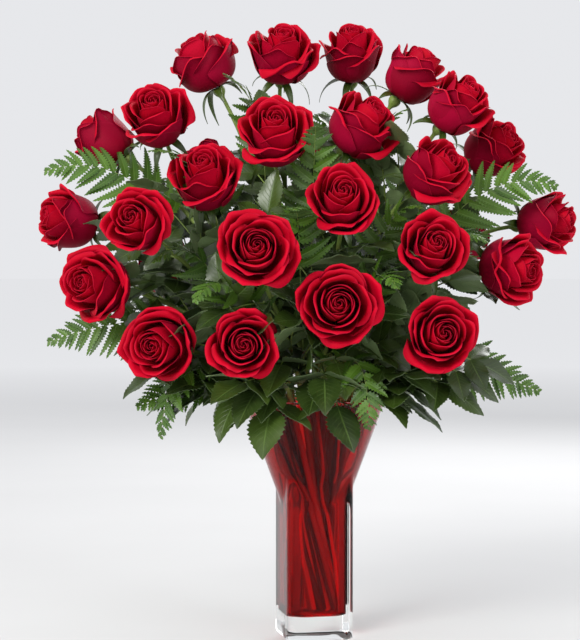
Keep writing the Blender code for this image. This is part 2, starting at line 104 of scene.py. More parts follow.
FRONDS = [
    Frond("upper_left", -85, 21, 0.286),
    Frond("left", -88, -14, 0.274),
    Frond("low_left", -72, -35, 0.222),
    Frond("upper_right", 83, 20, 0.256),
    Frond("low_right", 84, -27, 0.252),
]

# Tips of the short fern pieces between the heads: bearing, rise, reach from DOME_CENTRE.
SPRIGS = [
    (-58, 62, 0.222), (0, 53, 0.176), (-8, 22, 0.162), (-64, 34, 0.214), (-56, 4, 0.186),
    (-40, -8, 0.176), (44, 24, 0.158), (64, 10, 0.186), (28, -4, 0.160), (76, 60, 0.190),
    (27, -53, 0.182), (-66, -44, 0.226), (150, 22, 0.180), (-150, 16, 0.190), (178, -18, 0.170),
    (118, 34, 0.200), (-116, 28, 0.210), (172, 64, 0.190), (124, -30, 0.190), (-150, -34, 0.180),
]

# ---- camera and light

VIEW_HEIGHT = 0.640               # what the picture takes in at the vase's axis
LOOK_DOWN = 0.052                 # from eye level down to its middle, at the vase's axis
CAMERA_SIDE, CAMERA_BACK, EYE_HEIGHT = -0.024, 1.8, 0.368
SENSOR = 36                       # millimetres, along the picture's height


def set_camera():
    camera = bpy.data.cameras.new("camera")
    holder = bpy.data.objects.new("camera", camera)
    bpy.context.scene.collection.objects.link(holder)
    bpy.context.scene.camera = holder
    camera.lens = SENSOR * CAMERA_BACK / VIEW_HEIGHT
    holder.location = (CAMERA_SIDE, -CAMERA_BACK, EYE_HEIGHT)
    holder.rotation_euler = (math.pi / 2 - math.atan2(LOOK_DOWN, CAMERA_BACK), 0, 0)


def area_light(name, place, aim, size, power, colour):
    light = bpy.data.lights.new(name, "AREA")
    light.shape, light.size, light.energy, light.color = "SQUARE", size, power, colour
    holder = bpy.data.objects.new(name, light)
    bpy.context.scene.collection.objects.link(holder)
    holder.location = place
    holder.rotation_euler = (Vector(aim) - Vector(place)).to_track_quat("-Z", "Y").to_euler()


def set_lights():
    bpy.context.scene.view_settings.view_transform = "Standard"
    world = bpy.data.worlds.new("studio")
    bpy.context.scene.world = world
    world.use_nodes = True
    background = world.node_tree.nodes["Background"]
    background.inputs["Color"].default_value = (0.96, 0.97, 1.0, 1)
    background.inputs["Strength"].default_value = 0.83
    centre = (0, 0, 0.38)
    area_light("key", (-1.2, -1.6, 1.4), centre, 0.9, 38, (1.0, 0.99, 0.96))
    area_light("fill", (1.5, -1.4, 0.6), centre, 1.2, 16, (0.98, 0.99, 1.0))
    area_light("back", (0.6, 1.6, 1.5), centre, 1.0, 22, (1.0, 1.0, 1.0))


# ---- mesh building

class Builder:
    """Collects closed sheets and tubes, with point attributes, into one mesh object."""

    NAMES = ("across", "along", "edge", "under", "tone", "rank")

    def __init__(self):
        self.vertices, self.quads, self.count = [], [], 0
        self.attributes = {name: [] for name in self.NAMES}

    def add(self, vertices, quads, **attributes):
        n = len(vertices)
        self.vertices.append(vertices)
        self.quads.append(quads + self.count)
        self.count += n
        for name in self.NAMES:
            value = np.asarray(attributes.get(name, 0.0), float)
            self.attributes[name].append(np.broadcast_to(value.reshape(-1), (n,)))

    def sheet(self, grid, thick, **attributes):
        """A closed sheet on a (columns, rows, 3) grid; its front is columns x rows.

        The attribute under is 0 on the front and 1 on the back."""
        nu, nv = grid.shape[:2]
        normal = np.cross(np.gradient(grid, axis=0), np.gradient(grid, axis=1))
        normal /= np.maximum(np.linalg.norm(normal, axis=2, keepdims=True), 1e-12)
        half = normal * (np.broadcast_to(thick, (nu, nv))[..., None] / 2)
        i, j = np.meshgrid(np.arange(nu - 1), np.arange(nv - 1), indexing="ij")
        a = (i * nv + j).ravel()
        front = np.stack([a, a + nv, a + nv + 1, a + 1], axis=1)
        ring = np.concatenate([
            np.arange(nu) * nv,
            (nu - 1) * nv + np.arange(1, nv),
            np.arange(nu - 2, -1, -1) * nv + nv - 1,
            np.arange(nv - 2, 0, -1),
        ])
        onward = np.roll(ring, -1)
        rim = np.stack([onward, ring, ring + nu * nv, onward + nu * nv], axis=1)
        vertices = np.concatenate([(grid + half).reshape(-1, 3), (grid - half).reshape(-1, 3)])
        both = {
            name: np.tile(np.broadcast_to(value, (nu, nv)).reshape(-1), 2)
            for name, value in attributes.items()
        }
        both["under"] = np.repeat([0.0, 1.0], nu * nv)
        self.add(vertices, np.concatenate([front, front[:, ::-1] + nu * nv, rim]), **both)

    def tube(self, points, radii, sides, **attributes):
        points = np.array([tuple(p) for p in points])
        frames = path_frames([Vector(p) for p in points])
        angle = np.arange(sides) * 2 * math.pi / sides
        rings = []
        for point, radius, (_, side, normal) in zip(points, radii, frames):
            ring = np.outer(np.cos(angle), side) + np.outer(np.sin(angle), normal)
            rings.append(point + ring * radius)
        # the ends are closed by two rings drawn in to a point
        rings = [points[0] + (rings[0] - points[0]) * 1e-3] + rings
        rings.append(points[-1] + (rings[-1] - points[-1]) * 1e-3)
        along = np.repeat(np.linspace(0, 1, len(rings)), sides)
        across = np.tile(angle / (2 * math.pi), len(rings))
        self.skin(rings, along=along, across=across, **attributes)

    def skin(self, rings, **attributes):
        """The surface through rings of equally many vertices, each closed on itself."""
        count, sides = len(rings), len(rings[0])
        k, i = np.meshgrid(np.arange(count - 1), np.arange(sides), indexing="ij")
        j = (i + 1) % sides
        near, far = k * sides, (k + 1) * sides
        quads = np.stack([near + i, near + j, far + j, far + i], -1)
        self.add(np.concatenate(rings), quads.reshape(-1, 4), **attributes)

    def make(self, name, material, sharp=62):
        mesh = bpy.data.meshes.new(name)
        vertices, quads = np.concatenate(self.vertices), np.concatenate(self.quads)
        mesh.vertices.add(len(vertices))
        mesh.vertices.foreach_set("co", vertices.astype(np.float32).ravel())
        mesh.loops.add(quads.size)
        mesh.loops.foreach_set("vertex_index", quads.astype(np.int32).ravel())
        mesh.polygons.add(len(quads))
        mesh.polygons.foreach_set("loop_start", np.arange(0, quads.size, 4, dtype=np.int32))
        mesh.update(calc_edges=True)
        for key in self.NAMES:
            values = np.concatenate(self.attributes[key])
            if np.ptp(values) > 0 or values[0] != 0:
                layer = mesh.attributes.new(key, "FLOAT", "POINT")
                layer.data.foreach_set("value", values.astype(np.float32))
        mesh.shade_smooth()
        mesh.set_sharp_from_angle(angle=math.radians(sharp))
        mesh.materials.append(material)
        obj = bpy.data.objects.new(name, mesh)
        bpy.context.scene.collection.objects.link(obj)
        return obj


def heading(bearing, rise):
    """Unit vector for a bearing from the front and a rise above level, in degrees."""
    b, r = math.radians(bearing), math.radians(rise)
    return Vector((math.sin(b) * math.cos(r), -math.cos(b) * math.cos(r), math.sin(r)))


def axes_across(axis):
    """Two unit vectors square to axis; side, up and axis are left-handed."""
    up = Vector((0, 0, 1)) if abs(axis.z) < 0.95 else Vector((0, -1, 0))
    side = axis.cross(up).normalized()
    return side, side.cross(axis).normalized()


def square_to(axis, angle):
    """Unit vector square to axis, at an angle round it."""
    side, up = axes_across(axis)
    return side * math.cos(angle) + up * math.sin(angle)


def path_frames(points):
    """Direction, side and normal at each point, turning as little as they can."""
    directions = []
    for k in range(len(points)):
        ahead, behind = points[min(k + 1, len(points) - 1)], points[max(k - 1, 0)]
        directions.append((ahead - behind).normalized())
    side = axes_across(directions[0])[0]
    frames = []
    for direction in directions:
        side = (side - direction * side.dot(direction)).normalized()
        frames.append((direction, side, direction.cross(side)))
    return frames


def bezier(start, start_pull, end_pull, end, count):
    points = []
    for k in range(count):
        t = k / (count - 1)
        points.append(
            start * (1 - t) ** 3
            + start_pull * (3 * t * (1 - t) ** 2)
            + end_pull * (3 * t * t * (1 - t))
            + end * t ** 3
        )
    return points


def smooth(low, high, value):
    """0 below low, 1 above high, eased between."""
    t = np.clip((value - low) / (high - low), 0, 1)
    return t * t * (3 - 2 * t)


def piece(obj, slot, *cad_nodes):
    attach(obj, "root")
    for cad_node in cad_nodes:
        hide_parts(cad_node)


# ---- materials

def node(tree, kind, inputs=None, **settings):
    made = tree.nodes.new(kind)
    for name, value in settings.items():
        setattr(made, name, value)
    for key, value in (inputs or {}).items():
        if isinstance(value, bpy.types.NodeSocket):
            tree.links.new(value, made.inputs[key])
        else:
            made.inputs[key].default_value = value
    return made


def principled(name, **constants):
    made = bpy.data.materials.new(name)
    made.use_nodes = True
    shader = made.node_tree.nodes["Principled BSDF"]
    for key, value in constants.items():
        shader.inputs[key.replace("_", " ")].default_value = value
    return made, made.node_tree, shader


def attributes(tree, *names):
    return [node(tree, "ShaderNodeAttribute", attribute_name=n).outputs["Fac"] for n in names]


def object_place(tree):
    return node(tree, "ShaderNodeTexCoord").outputs["Object"]


# The first argument below is a socket or node, whose id_data is the tree to build in.

def maths(a, operation, b=0.0):
    return node(a.id_data, "ShaderNodeMath", {0: a, 1: b}, operation=operation).outputs[0]


def times(a, b):
    return maths(a, "MULTIPLY", b)


def plus(a, b):
    return maths(a, "ADD", b)


def mixed(factor, a, b):
    """Colour a where factor is 0, b where it is 1."""
    inputs = {0: factor, 6: a, 7: b}
    return node(factor.id_data, "ShaderNodeMix", inputs, data_type="RGBA").outputs[2]


def noise(vector, scale, detail):
    inputs = {"Vector": vector, "Scale": scale, "Detail": detail, "Roughness": 0.5}
    return node(vector.id_data, "ShaderNodeTexNoise", inputs).outputs["Fac"]


def combine(x, y, z):
    return node(x.id_data, "ShaderNodeCombineXYZ", {0: x, 1: y, 2: z}).outputs[0]


def spread(value, low, high):
    """0 where value is low, 1 where it is high."""
    inputs = {0: value, 1: low, 2: high, 3: 0.0, 4: 1.0}
    return node(value.id_data, "ShaderNodeMapRange", inputs).outputs[0]


def ranged(value, low, high):
    """A value from 0 to 1 as one from low to high."""
    return node(value.id_data, "ShaderNodeMapRange", {0: value, 3: low, 4: high}).outputs[0]


def shader_mix(factor, a, b):
    return node(factor.id_data, "ShaderNodeMixShader", {0: factor, 1: a, 2: b}).outputs[0]


def bump(shader, strength, distance, height):
    tree = shader.id_data
    inputs = {"Strength": strength, "Distance": distance, "Height": height}
    tree.links.new(node(tree, "ShaderNodeBump", inputs).outputs[0], shader.inputs["Normal"])


def link_looks(shader, colour, roughness, strength, distance, height):
    """Links colour, roughness and a bump of the given height to the shader."""
    links = shader.id_data.links
    links.new(colour, shader.inputs["Base Color"])
    links.new(roughness, shader.inputs["Roughness"])
    bump(shader, strength, distance, height)


def petal_material():
    made, tree, shader = principled(
        "rose_petal", Sheen_Weight=0.05, Sheen_Roughness=0.30, Sheen_Tint=(1.0, 0.15, 0.25, 1),
        Specular_IOR_Level=0.07,
    )
    across, along, edge, under, tone, rank = attributes(tree, *Builder.NAMES)
    place = object_place(tree)
    mottle = noise(place, 110.0, 4.0)
    cloud = noise(place, 28.0, 2.0)
    level = plus(times(mottle, 0.45), times(tone, 0.30))
    level = plus(level, times(rank, 0.30))
    level = spread(plus(level, times(cloud, 0.20)), 0.25, 1.05)
    inside = mixed(level, (0.40, 0.0004, 0.010, 1), (0.55, 0.0008, 0.019, 1))
    # the backs of the outer petals are darker
    outside = mixed(tone, (0.22, 0.0010, 0.016, 1), (0.35, 0.0020, 0.030, 1))
    colour = mixed(times(under, spread(rank, 0.35, 0.75)), inside, outside)
    # painted highlight: the rolled rims are painted a paler pink, a sheen standing in for light
    # grazing them
    colour = mixed(times(edge, 0.24), colour, (0.60, 0.020, 0.075, 1))
    # painted shade: the lower half of each petal, deep inside the bloom, is darkened to a deep
    # crimson
    heart = spread(along, 0.50, 0.05)
    colour = mixed(times(heart, 0.50), colour, (0.22, 0.0005, 0.005, 1))
    lengthwise = combine(times(across, 30.0), times(along, 3.0), tone)
    veins = noise(lengthwise, 1.0, 3.0)
    link_looks(shader, colour, ranged(veins, 0.48, 0.68), 0.16, 0.0006, veins)
    return made


def leaf_material():
    made, tree, shader = principled(
        "rose_leaf", Specular_IOR_Level=0.5, Coat_Weight=0.30, Coat_Roughness=0.30
    )
    across, along, under, tone = attributes(tree, "across", "along", "under", "tone")
    mottle = noise(object_place(tree), 70.0, 5.0)
    level = plus(times(mottle, 0.6), times(tone, 0.5))
    level = spread(level, 0.2, 0.9)
    upper = mixed(level, (0.011, 0.026, 0.003, 1), (0.047, 0.084, 0.009, 1))
    off = maths(across, "ABSOLUTE")
    # side veins leave the midrib at a slant, nine to a side
    slant = maths(times(along, 9.0), "SUBTRACT", times(off, 2.4))
    wave = maths(slant, "PINGPONG", 0.5)
    vein = times(spread(wave, 0.10, 0.0), spread(off, 1.0, 0.3))
    midrib = spread(off, 0.075, 0.02)
    line = maths(midrib, "MAXIMUM", times(vein, 0.55))
    upper = mixed(times(line, 0.6), upper, (0.10, 0.17, 0.035, 1))
    lower = mixed(mottle, (0.10, 0.16, 0.055, 1), (0.17, 0.24, 0.10, 1))
    rough = plus(ranged(mottle, 0.26, 0.48), times(under, 0.25))
    height = maths(times(mottle, 0.35), "SUBTRACT", line)
    link_looks(shader, mixed(under, upper, lower), rough, 0.5, 0.0006, height)
    return made


def fern_material():
    made, tree, shader = principled("leatherleaf_fern", Specular_IOR_Level=0.45)
    across, along, under, tone = attributes(tree, "across", "along", "under", "tone")
    mottle = noise(object_place(tree), 90.0, 4.0)
    level = plus(times(mottle, 0.5), times(tone, 0.6))
    level = spread(level, 0.2, 1.0)
    upper = mixed(level, (0.022, 0.066, 0.004, 1), (0.085, 0.185, 0.012, 1))
    off = maths(across, "ABSOLUTE")
    # one vein to a lobe, and the midrib
    slant = maths(maths(along, "SUBTRACT", times(off, 0.9)), "PINGPONG", 0.5)
    vein = times(spread(slant, 0.16, 0.0), 0.45)
    midrib = maths(spread(off, 0.16, 0.04), "MAXIMUM", vein)
    upper = mixed(times(midrib, 0.5), upper, (0.12, 0.22, 0.04, 1))
    colour = mixed(times(under, 0.6), upper, (0.12, 0.22, 0.07, 1))
    height = maths(times(mottle, 0.4), "SUBTRACT", midrib)
    link_looks(shader, colour, ranged(mottle, 0.30, 0.50), 0.4, 0.0004, height)
    return made


def stem_material():
    made, tree, shader = principled("rose_stem", Specular_IOR_Level=0.4)
    across, along, tone = attributes(tree, "across", "along", "tone")
    place = object_place(tree)
    lengthwise = combine(times(across, 14.0), times(along, 9.0), tone)
    streak = noise(lengthwise, 1.0, 4.0)
    patch = spread(noise(place, 38.0, 3.0), 0.55, 0.85)
    green = mixed(streak, (0.12, 0.20, 0.03, 1), (0.30, 0.40, 0.10, 1))
    green = mixed(patch, green, (0.13, 0.10, 0.035, 1))
    # inside the vase the stems are stripped and pale; their random tone runs down to near black,
    # painted shade for stems that stand in shadow
    height = node(tree, "ShaderNodeSeparateXYZ", {0: place}).outputs[2]
    bare_and_painted_shade = mixed(tone, (0.012, 0.009, 0.006, 1), (0.72, 0.60, 0.42, 1))
    colour = mixed(spread(height, 0.245, 0.225), green, bare_and_painted_shade)
    link_looks(shader, colour, ranged(streak, 0.35, 0.55), 0.35, 0.0005, streak)
    return made


def clear_to_shadows(tree, surface, tint):
    """Lets light through a glass surface to what stands behind it."""
    path = node(tree, "ShaderNodeLightPath")
    through = node(tree, "ShaderNodeBsdfTransparent", {"Color": tint})
    choice = shader_mix(path.outputs["Is Shadow Ray"], surface, through.outputs[0])
    tree.links.new(choice, tree.nodes["Material Output"].inputs["Surface"])


def glass_material():
    made, tree, shader = principled(
        "clear_glass", Transmission_Weight=1.0, IOR=1.47, Base_Color=(0.97, 0.985, 0.98, 1),
        Specular_Tint=(0.3, 0.3, 0.3, 1),
    )
    place = object_place(tree)
    waves = noise(place, 26.0, 2.0)
    smears = noise(place, 60.0, 4.0)
    rough = node(tree, "ShaderNodeMapRange", {0: smears, 1: 0.4, 2: 0.8, 3: 0.0, 4: 0.03})
    tree.links.new(rough.outputs[0], shader.inputs["Roughness"])
    bump(shader, 0.10, 0.001, waves)
    clear_to_shadows(tree, shader.outputs[0], (0.96, 0.97, 0.97, 1))
    return made


def ruby_material():
    """The stained layer: it colours what is seen through it and bends nothing."""
    made = bpy.data.materials.new("ruby_layer")
    made.use_nodes = True
    tree = made.node_tree
    depth = noise(object_place(tree), 18.0, 2.0)
    tint = mixed(depth, (0.78, 0.11, 0.13, 1), (0.90, 0.20, 0.22, 1))
    facing = node(tree, "ShaderNodeLayerWeight", {"Blend": 0.35}).outputs["Facing"]
    tint = mixed(facing, tint, (0.34, 0.01, 0.02, 1))
    through = node(tree, "ShaderNodeBsdfTransparent", {"Color": tint})
    gloss = node(tree, "ShaderNodeBsdfGlossy", {"Color": (0.8, 0.2, 0.2, 1), "Roughness": 0.04})
    fresnel = node(tree, "ShaderNodeFresnel", {"IOR": 1.10})
    layer = shader_mix(fresnel.outputs[0], through.outputs[0], gloss.outputs[0])
    clear_to_shadows(tree, layer, (0.88, 0.36, 0.37, 1))
    return made


def floor_material():
    made, tree, shader = principled("floor", Specular_IOR_Level=0.0, Roughness=0.9)
    place = object_place(tree)
    cloud = noise(place, 3.0, 3.0)
    near = mixed(cloud, (0.60, 0.60, 0.60, 1), (0.64, 0.64, 0.64, 1))
    distance = node(tree, "ShaderNodeVectorMath", {0: place}, operation="LENGTH").outputs["Value"]
    # painted light: the floor grows paler with distance, so that far off it reads as a brightly lit
    # backdrop
    colour = mixed(spread(distance, 1.2, 5.0), near, (0.97, 0.97, 0.97, 1))
    tree.links.new(colour, shader.inputs["Base Color"])
    return made


# ---- how the stems stand

SLICE_LOW = FOOT_THICK + STEM_FOOT_GAP + STEM_RADIUS
SLICE_HIGH = VASE_HEIGHT + 0.010
SLICES = 19
SLICE_STEP = (SLICE_HIGH - SLICE_LOW) / (SLICES - 1)
KEEP_EVERY = 3
NECK_LOW = FLARE_START + (WELL_HALF + FLARE_WALL - FOOT_HALF) / FLARE_SLOPE
NECK_HIGH = NECK_LOW + KEEP_EVERY * SLICE_STEP
SETTLE_ROUNDS = 700


def cone_radius(z, inset=0.0):
    return FOOT_HALF + (z - FLARE_START) * FLARE_SLOPE - inset


def head_radius(rose):
    return HEAD_RADIUS_TIGHT + (HEAD_RADIUS_OPEN - HEAD_RADIUS_TIGHT) * rose.opened


def clamp_to_cavity(spots, z, radius):
    """Moves level spots inside the cavity wall at height z, clear by radius."""
    limit = WELL_HALF - radius
    if NECK_LOW <= z < NECK_HIGH:
        reaches, round_limit = [], limit
    elif z >= NECK_HIGH:
        reaches, round_limit = [], cone_radius(min(z, VASE_HEIGHT), FLARE_WALL) - radius
    else:
        corner = (WELL_HALF + WELL_FACET_HALF) / math.sqrt(2) - radius
        reaches, round_limit = [(0.0, limit), (0.5, corner)], None
    for eighth, reach in reaches:
        for k in range(4):
            angle = (k + eighth) * math.pi / 2 + VASE_TURN
            normal = np.array([math.cos(angle), math.sin(angle)])
            spots -= np.maximum(spots @ normal - reach, 0)[:, None] * normal
    if round_limit:
        size = np.maximum(np.linalg.norm(spots, axis=1), 1e-9)
        spots *= np.minimum(1, round_limit / size)[:, None]


def settle(bearings, leans, radii):
    """Level positions of every stem at each slice height, as the CAD stems stand."""
    count = len(bearings)
    heights = np.linspace(SLICE_LOW, SLICE_HIGH, SLICES)
    order = np.argsort(np.argsort(leans)) + 0.5
    share = np.sqrt(order / count)
    angle = np.radians(bearings)
    towards = np.stack([np.sin(angle), -np.cos(angle)], axis=1)
    foot_angle = angle + math.pi - SPIRAL
    foot = np.stack([np.sin(foot_angle), -np.cos(foot_angle)], axis=1)
    foot *= (share * (WELL_HALF - STEM_RADIUS) * 0.95)[:, None]
    mouth = towards * (share * (cone_radius(VASE_HEIGHT, FLARE_WALL) - 3 * STEM_RADIUS))[:, None]
    t = ((heights - heights[0]) / (heights[-1] - heights[0]))[:, None, None]
    spots = foot[None] * (1 - t) + mouth[None] * t
    least = (radii[:, None] + radii[None, :] + STEM_SPACING)[None]
    own = np.eye(count, dtype=bool)[None]
    for step in range(SETTLE_ROUNDS):
        if step < SETTLE_ROUNDS * 0.8:
            spots[1:-1] = 0.7 * spots[1:-1] + 0.15 * (spots[:-2] + spots[2:])
        apart = spots[:, :, None, :] - spots[:, None, :, :]
        distance = np.linalg.norm(apart, axis=3)
        distance[np.broadcast_to(own, distance.shape)] = 1.0
        push = np.maximum(least - distance, 0) * 0.5 / np.maximum(distance, 1e-6)
        spots += (apart * push[..., None]).sum(axis=2) * 0.8
        for k, z in enumerate(heights):
            for radius in sorted(set(radii)):
                chosen = radii == radius
                level = spots[k, chosen]
                clamp_to_cavity(level, z, radius + GAP * 2)
                spots[k, chosen] = level
    return [
        [Vector((spots[k, i, 0], spots[k, i, 1], z)) for k, z in enumerate(heights)]
        for i in range(count)
    ]


def lean_of(point):
    """How far a head or tip leans out of the mouth, as an angle."""
    return math.atan2(math.hypot(point.x, point.y), point.z - VASE_HEIGHT + 0.08)


def rose_route(inside, rose, centre):
    """A stem's centreline in the vase and from there to its neck, its head's axis and hip."""
    axis = heading(rose.face_bearing, rose.face_rise)
    hip = centre - axis * (HEAD_HEIGHT / 2 + GAP)
    neck = hip - axis * HIP_LENGTH
    start, before = inside[-1], inside[-4]
    length = (neck - start).length
    pull = start + (start - before).normalized() * length * 0.35
    arc = bezier(start, pull, neck - axis * length * NECK_STRAIGHT, neck, 20)
    return inside[:-1:KEEP_EVERY], arc, axis, hip


def frond_arc(inside, tip):
    """Up out of the mouth and over to the tip in one bow."""
    start, before = inside[-1], inside[-4]
    length = (tip - start).length
    pull = start + (start - before).normalized() * length * 0.45
    inward = Vector((-tip.x, -tip.y, 0)).normalized()
    over = tip + (inward * 0.3 + Vector((0, 0, 0.12))) * length
    return bezier(start, pull, over, tip, 40)


# ---- rose heads

def profile_curve(points, samples=60):
    """A cubic in the radial plane: shares of its run, radii and heights there, and its run."""
    t = np.linspace(0, 1, samples)[:, None]
    p0, p1, p2, p3 = (np.array(p)[None] for p in points)
    curve = p0 * (1 - t) ** 3 + 3 * p1 * t * (1 - t) ** 2 + 3 * p2 * t * t * (1 - t) + p3 * t ** 3
    run = np.concatenate([[0], np.cumsum(np.linalg.norm(np.diff(curve, axis=0), axis=1))])
    return run / run[-1], curve[:, 0], curve[:, 1], run[-1]


def by_rank(rank, values):
    """A value for a petal's rank, from its values at the heart, bud, cup, first and last outer."""
    return float(np.interp(rank, (0.0, 0.2, 0.45, 0.70, 1.0), values))


ANY_TURN = 6.28                   # upper end for a random angle in radians
PETAL_THICK = 0.00034
BLOOM_SPREAD = 1.03               # petals' reach, share of the CAD head's radius


def add_petal(builder, rng, rank, radius, height, opened, turn, to_world):
    """One petal.  rank is 0 at the heart to 1 outside; turn is its bearing round the head."""
    outer = smooth(0.42, 0.74, rank)
    nu, nv = (25, 20) if rank > 0.4 else (17, 12)
    x = np.linspace(-1, 1, nu)[:, None]
    u = x * (1.30 - 0.30 * x * x)
    v = (1 - (1 - np.linspace(0, 1, nv)) ** 1.7)[None, :]
    size = radius / 0.038
    rim_r = radius * by_rank(rank, (0.03, 0.17, 0.38, 0.68, 1.0)) * rng.uniform(0.985, 1.035)
    rim_z = height * by_rank(rank, (0.90, 0.95, 0.97, 0.91 - 0.06 * opened, 0.84 - 0.22 * opened))
    rim_z *= rng.uniform(0.97, 1.02)
    belly = radius * by_rank(rank, (0.17, 0.30, 0.48, 0.64, 0.80))
    fall = by_rank(rank, (0.74, 0.74, 0.80, 0.92 + 0.06 * opened, 0.90 + 0.14 * opened))
    share, radii, heights, length = profile_curve([
        (0.0030 + 0.0030 * rank, 0.0005 + 0.0010 * (1 - rank)),
        (belly * 1.22, -0.001 + 0.004 * (1 - rank)),
        (radius * by_rank(rank, (0.12, 0.24, 0.38, 0.50, 0.64)), rim_z * fall),
        (rim_r, rim_z),
    ])
    # outline: round inside, with straight shoulders and a point outside
    shoulder = 0.26 * (1 - outer) + outer * rng.uniform(0.34, 0.50)
    bend = 2.6 - 1.15 * outer
    reach = 1 - shoulder * np.abs(u) ** bend
    s = v * reach
    r = np.interp(s, share, radii)
    z = np.interp(s, share, heights)
    half_width = size * by_rank(rank, (0.0050, 0.0115, 0.0185, 0.0255, 0.0325))
    half_width = half_width * (0.30 + 0.70 * smooth(0.0, 0.60, s))
    half_width = half_width * (1 - 0.05 * smooth(0.7, 1.0, s))
    angle = np.clip(u * half_width / np.maximum(r, 0.0022), -2.6, 2.6)
    tuck = 0.0008 + 0.0010 * math.exp(-rank * 6) + 0.0009 * outer
    out = r + tuck * u * smooth(0.05, 0.5, s) + r * 0.05 * smooth(0.55, 1.0, s) * angle ** 2 * outer
    base = np.stack([out * np.cos(angle), out * np.sin(angle), z + 0 * angle], axis=2)
    # soft unevenness, stronger towards the rim
    along_v, along_u = np.gradient(base, axis=1), np.gradient(base, axis=0)
    along_v /= np.linalg.norm(along_v, axis=2, keepdims=True) + 1e-12
    along_u /= np.linalg.norm(along_u, axis=2, keepdims=True) + 1e-12
    outward = np.cross(along_u, along_v)
    outward /= np.linalg.norm(outward, axis=2, keepdims=True) + 1e-12
    p = rng.uniform(0, ANY_TURN, 5)
    uneven = (
        (0.0003 + 0.0012 * outer) * np.sin(2.6 * u + p[0]) * np.sin(3.1 * s + p[1])
        + (0.0002 + 0.0005 * outer) * np.sin(5.3 * u + p[2] + 2 * s)
        + (0.0001 + 0.0004 * outer) * np.sin(9.0 * u + p[3]) * smooth(0.6, 1.0, s)
    ) * smooth(0.25, 0.8, s)
    # the margin rolls back, least at the point
    d_top, d_side = (reach - s) * length, (1 - np.abs(u)) * half_width
    near_top, near_side = np.exp(-d_top / 0.004), np.exp(-d_side / 0.004)
    d = np.maximum(-0.0016 * np.log(np.exp(-d_top / 0.0016) + np.exp(-d_side / 0.0016) + 1e-9), 0)
    to_edge = along_v * near_top[..., None] + along_u * (np.sign(u) * near_side)[..., None]
    to_edge /= np.linalg.norm(to_edge, axis=2, keepdims=True) + 1e-9
    roll = size * by_rank(rank, (0.0005, 0.0006, 0.0016, 0.0034, 0.0046)) * rng.uniform(0.85, 1.15)
    band = size * by_rank(rank, (0.0003, 0.0004, 0.0022, 0.0062, 0.0092)) * rng.uniform(0.70, 1.25)
    lop = rng.uniform(-0.45, 0.45)
    off_point = np.abs(u - 0.15 * lop)
    band = band * (1 - outer * 0.55 * (1 - smooth(0.02, 0.45, off_point))) * (1 + lop * u)
    band = np.maximum(band, 0) * smooth(0.50, 0.78, s) * (0.15 + 0.85 * smooth(-0.8, -0.1, u))
    over = np.maximum(band - d, 0)
    base = (
        base
        - to_edge * (over - roll * np.sin(over / roll))[..., None]
        + outward * (roll * (1 - np.cos(over / roll)) + uneven)[..., None]
    )
    # the lean of the whole petal, then its bearing
    lean = rng.uniform(-0.02, 0.05) * outer
    c, k = math.cos(lean), math.sin(lean)
    x, z = base[..., 0] * c + base[..., 2] * k, base[..., 2] * c - base[..., 0] * k
    c, k = math.cos(turn), math.sin(turn)
    base = np.stack([x * c - base[..., 1] * k, x * k + base[..., 1] * c, z], axis=2)
    # to_world mirrors, so the sheet's front is the petal's inner side
    # edge is nearness to the rim, where the petal material paints a pale highlight
    builder.sheet(
        base @ to_world[0].T + to_world[1], PETAL_THICK, across=u + 0 * v, along=s,
        edge=np.exp(-d / 0.0009) * smooth(0.4, 0.7, s), tone=rng.uniform(), rank=rank,
    )


# From the heart out: first and last rank, petals, turn from one to the next, unevenness.
WHORLS = [
    (0.00, 0.40, 17, 2.40, 0.10), (0.46, 0.58, 4, 1.75, 0.15), (0.66, 0.78, 4, 1.65, 0.20),
    (0.85, 1.00, 6, 2.40, 0.18),
]


def add_bloom(builder, rng, rose, centre):
    """All the petals of a head, whorl by whorl."""
    axis = heading(rose.face_bearing, rose.face_rise)
    side, up = axes_across(axis)
    to_world = np.array([side, up, axis]).T, np.array(centre - axis * (HEAD_HEIGHT / 2))
    radius = head_radius(rose) * BLOOM_SPREAD
    spin = rng.uniform(0, ANY_TURN)
    for first, last, count, step, jitter in WHORLS:
        for i in range(count):
            rank = first + (last - first) * i / (count - 1)
            turn = spin + i * step + rng.uniform(-jitter, jitter)
            add_petal(builder, rng, rank, radius, HEAD_HEIGHT, rose.opened, turn, to_world)
        spin = turn + step


# ---- leaves, sepals, thorns

LEAFLET_THICK, SEPAL_THICK = 0.00035, 0.0004


def blade_grid(points, facing, half_widths, fold, curl, u):
    """A grid across a path at shares u of its half width, given by row or by row and column.

    It is folded along the midrib by fold, and its edges are lifted by curl."""
    grid = np.zeros((len(u), len(points), 3))
    for k, (point, (direction, _, _)) in enumerate(zip(points, path_frames(points))):
        side = direction.cross(facing).normalized()
        face = side.cross(direction)
        for i, a in enumerate(u * half_widths[k]):
            grid[i, k] = point + side * a + face * (abs(a) * fold + a * a * curl)
    return grid


